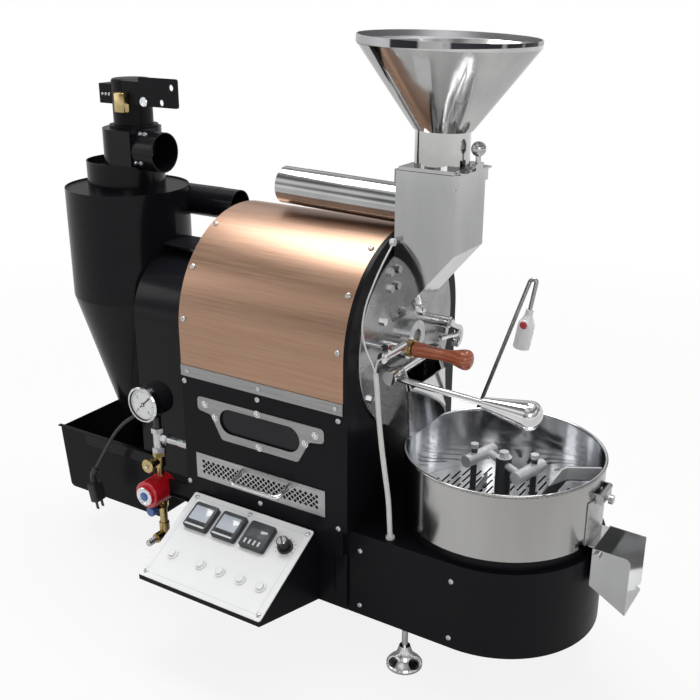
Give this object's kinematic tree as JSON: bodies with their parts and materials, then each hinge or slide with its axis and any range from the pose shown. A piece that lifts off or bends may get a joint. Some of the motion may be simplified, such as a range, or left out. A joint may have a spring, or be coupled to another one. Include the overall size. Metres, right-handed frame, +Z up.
{
  "type": "coffee roaster",
  "caption": "Small gas drum coffee roaster: half-round drum housing, funnel hopper, round stirred cooling tray, chaff cyclone with blower, sloping control panel.",
  "frame": {"origin": "on the ground, in the middle of the whole machine's bounding box", "axes": "+X from the drum housing to the cooling tray, -Y to the user and the control panel, +Z up"},
  "size_m": [1.124, 0.5084, 0.9825],
  "materials": {
    "black_coat": "satin black powder coat",
    "copper_sheet": "rose gold brushed sheet",
    "steel_sheet": "brushed stainless",
    "mirror_steel": "polished stainless",
    "panel_white": "pale silver panel",
    "window_glass": "dark amber heat glass",
    "drum_steel": "plain steel",
    "grey_steel": "zinc plated",
    "handle_wood": "varnished red brown",
    "brass_metal": "bright brass",
    "regulator_red": "gloss red",
    "gauge_shell": "polished bezel",
    "black_plastic": "matte black",
    "screen_plastic": "controller housings",
    "knob_silver": "turned aluminium",
    "key_red": "red key",
    "key_green": "green key",
    "key_yellow": "yellow key",
    "blue_knob": "blue knob",
    "lamp_paint": "gloss black",
    "lead_white": "woven glass sleeve",
    "cord_rubber": "black cord",
    "foot_chrome": "polished feet"
  },
  "bodies": {
    "frame": {"body_box": "black_coat", "drum_cover": "copper_sheet", "trim_strips": "steel_sheet", "front_plate": "black_coat", "face_plate": "steel_sheet", "sight_plate": "steel_sheet", "sight_glass": "window_glass", "drum_bearings": "grey_steel", "base_plenum": "black_coat", "levelling_feet": "foot_chrome", "cooling_tray": "mirror_steel", "tray_floor": "steel_sheet", "tray_spout": "steel_sheet", "hopper": "mirror_steel", "hopper_cap": "mirror_steel", "feed_chute": "mirror_steel", "exhaust_pipe": "mirror_steel", "discharge_mouth": "mirror_steel", "front_fittings": "mirror_steel", "burner": "grey_steel", "rear_housing": "black_coat", "cyclone_body": "black_coat", "cyclone_shelf": "black_coat", "blower_volute": "black_coat", "blower_motor": "black_coat", "gauge_case": "gauge_shell", "gas_fittings": "grey_steel", "brass_fittings": "brass_metal", "regulator": "regulator_red", "console_box": "black_coat", "console_panel": "panel_white", "controllers": "screen_plastic", "lamp_stem": "mirror_steel", "probe_lead": "lead_white", "cord_gland": "black_plastic", "power_cord": "cord_rubber", "power_plug": "cord_rubber"},
    "drum": {"roasting_drum": "drum_steel"},
    "tray_flap": {"tray_gate": "mirror_steel"},
    "stirring_arm": {"stirrer": "mirror_steel"},
    "shutter": {"slide_gate": "mirror_steel"},
    "door": {"discharge_door": "mirror_steel"},
    "hook": {"latch_hook": "mirror_steel"},
    "bush": {"trier_bush": "brass_metal"},
    "sampler": {"trier": "mirror_steel", "trier_handle": "handle_wood"},
    "drawer": {"chaff_drawer": "steel_sheet"},
    "bin": {"chaff_bin": "black_coat"},
    "wheel": {"blower_wheel": "grey_steel"},
    "needle": {"gauge_needle": "black_plastic"},
    "gas_valve": {"valve_knob": "brass_metal"},
    "gas_cock": {"regulator_knob": "blue_knob"},
    "dial": {"speed_knob": "knob_silver"},
    "lamp": {"lamp_head": "lamp_paint"},
    "lamp_key": {"lamp_switch": "key_red"},
    "key_1": {"button_1": "key_red"},
    "key_2": {"button_2": "key_red"},
    "key_3": {"button_3": "key_yellow"},
    "key_4": {"button_4": "key_green"},
    "key_5": {"button_5": "key_green"}
  },
  "joints": [
    {"name": "drum_spin", "type": "hinge", "parent": "frame", "child": "drum", "pos_m": [-0.011, 0.07575, 0.52], "axis": [1, 0, 0], "continuous": true},
    {"name": "stirrer_spin", "type": "hinge", "parent": "frame", "child": "stirring_arm", "pos_m": [0.339, 0.07175, 0.3], "axis": [0, 0, 1], "continuous": true},
    {"name": "blower_spin", "type": "hinge", "parent": "frame", "child": "wheel", "pos_m": [-0.406, 0.07575, 0.78], "axis": [0, 0, 1], "continuous": true},
    {"name": "slide_gate_pull", "type": "slide", "parent": "frame", "child": "shutter", "axis": [1, 0, 0], "range_m": [0, 0.082]},
    {"name": "discharge_door_swing", "type": "hinge", "parent": "frame", "child": "door", "pos_m": [0.179, 0.07575, 0.479], "axis": [0, 1, 0], "range_deg": [-50, 0]},
    {"name": "latch_hook_swing", "type": "hinge", "parent": "frame", "child": "hook", "pos_m": [0.181, 0.16375, 0.5205], "axis": [1, 0, 0], "range_deg": [0, 60]},
    {"name": "sampler_turn", "type": "hinge", "parent": "frame", "child": "bush", "pos_m": [0.169, 0.03075, 0.516], "axis": [1, 0, 0], "range_deg": [-180, 180]},
    {"name": "sampler_pull", "type": "slide", "parent": "bush", "child": "sampler", "axis": [1, 0, 0], "range_m": [0, 0.14]},
    {"name": "tray_flap_swing", "type": "hinge", "parent": "frame", "child": "tray_flap", "pos_m": [0.5025, 0.07175, 0.337], "axis": [0, 1, 0], "range_deg": [-75, 0]},
    {"name": "drawer_pull", "type": "slide", "parent": "frame", "child": "drawer", "axis": [0, -1, 0], "range_m": [0, 0.2]},
    {"name": "bin_pull", "type": "slide", "parent": "frame", "child": "bin", "axis": [-1, 0, 0], "range_m": [0, 0.2]},
    {"name": "gauge_needle_turn", "type": "hinge", "parent": "frame", "child": "needle", "pos_m": [-0.241, -0.12125, 0.375], "axis": [0, -1, 0], "range_deg": [-270, 0]},
    {"name": "gas_valve_turn", "type": "hinge", "parent": "frame", "child": "gas_valve", "pos_m": [-0.241, -0.11425, 0.258], "axis": [0, -1, 0], "range_deg": [0, 270]},
    {"name": "gas_cock_turn", "type": "hinge", "parent": "frame", "child": "gas_cock", "pos_m": [-0.241, -0.11425, 0.1685], "axis": [0, -1, 0], "range_deg": [0, 90]},
    {"name": "speed_knob_turn", "type": "hinge", "parent": "frame", "child": "dial", "pos_m": [0.0677, -0.14454, 0.21333], "axis": [0, 0.4776, -0.8786], "range_deg": [0, 270]},
    {"name": "lamp_swivel", "type": "hinge", "parent": "frame", "child": "lamp", "pos_m": [0.313, 0.20575, 0.553], "axis": [0.162, 0, 0.9868], "range_deg": [-90, 90]},
    {"name": "lamp_switch_push", "type": "slide", "parent": "lamp", "child": "lamp_key", "axis": [0, 1, 0], "range_m": [0, 0.002], "stiffness_N_per_m": 200, "springref_m": -0.001},
    {"name": "button_1_push", "type": "slide", "parent": "frame", "child": "key_1", "axis": [0, 0.4776, -0.8786], "range_m": [0, 0.0025], "stiffness_N_per_m": 300, "springref_m": -0.001},
    {"name": "button_2_push", "type": "slide", "parent": "frame", "child": "key_2", "axis": [0, 0.4776, -0.8786], "range_m": [0, 0.0025], "stiffness_N_per_m": 300, "springref_m": -0.001},
    {"name": "button_3_push", "type": "slide", "parent": "frame", "child": "key_3", "axis": [0, 0.4776, -0.8786], "range_m": [0, 0.0025], "stiffness_N_per_m": 300, "springref_m": -0.001},
    {"name": "button_4_push", "type": "slide", "parent": "frame", "child": "key_4", "axis": [0, 0.4776, -0.8786], "range_m": [0, 0.0025], "stiffness_N_per_m": 300, "springref_m": -0.001},
    {"name": "button_5_push", "type": "slide", "parent": "frame", "child": "key_5", "axis": [0, 0.4776, -0.8786], "range_m": [0, 0.0025], "stiffness_N_per_m": 300, "springref_m": -0.001}
  ]
}
